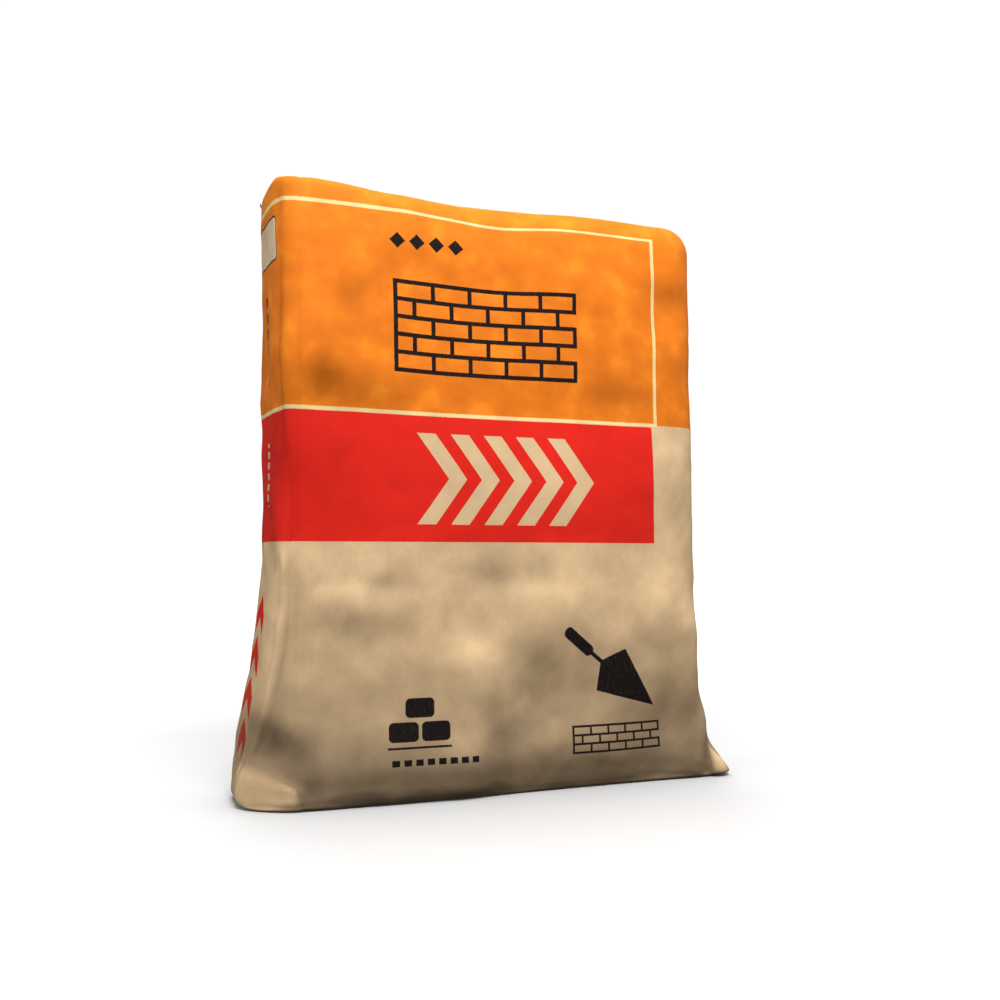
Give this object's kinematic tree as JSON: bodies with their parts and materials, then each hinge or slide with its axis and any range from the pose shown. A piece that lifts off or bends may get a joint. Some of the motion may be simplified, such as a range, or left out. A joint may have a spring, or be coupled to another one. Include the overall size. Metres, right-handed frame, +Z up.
{
  "type": "cement bag",
  "caption": "Filled paper valve sack of cement standing upright, with folded ends, pasted cover strips, a flared foot and a filling sleeve at one top corner.",
  "frame": {"origin": "on the floor, under the middle of the sack's bounding box", "axes": "+Z up along the sack's height, -Y out of the printed front, +X to the right as the front is seen"},
  "size_m": [0.3966, 0.113, 0.4603],
  "materials": {
    "kraft_paper": "matt kraft paper, printed in orange and red on its upper part",
    "cement_powder": "fine grey powder",
    "sleeve_paper": "matt grey paper",
    "top_patch_paper": "matt kraft paper",
    "bottom_patch_paper": "matt kraft paper"
  },
  "bodies": {
    "root": {"paper_sack": "kraft_paper", "cement_fill": "cement_powder", "valve_sleeve": "sleeve_paper", "top_patch": "top_patch_paper", "bottom_patch": "bottom_patch_paper"}
  },
  "joints": []
}
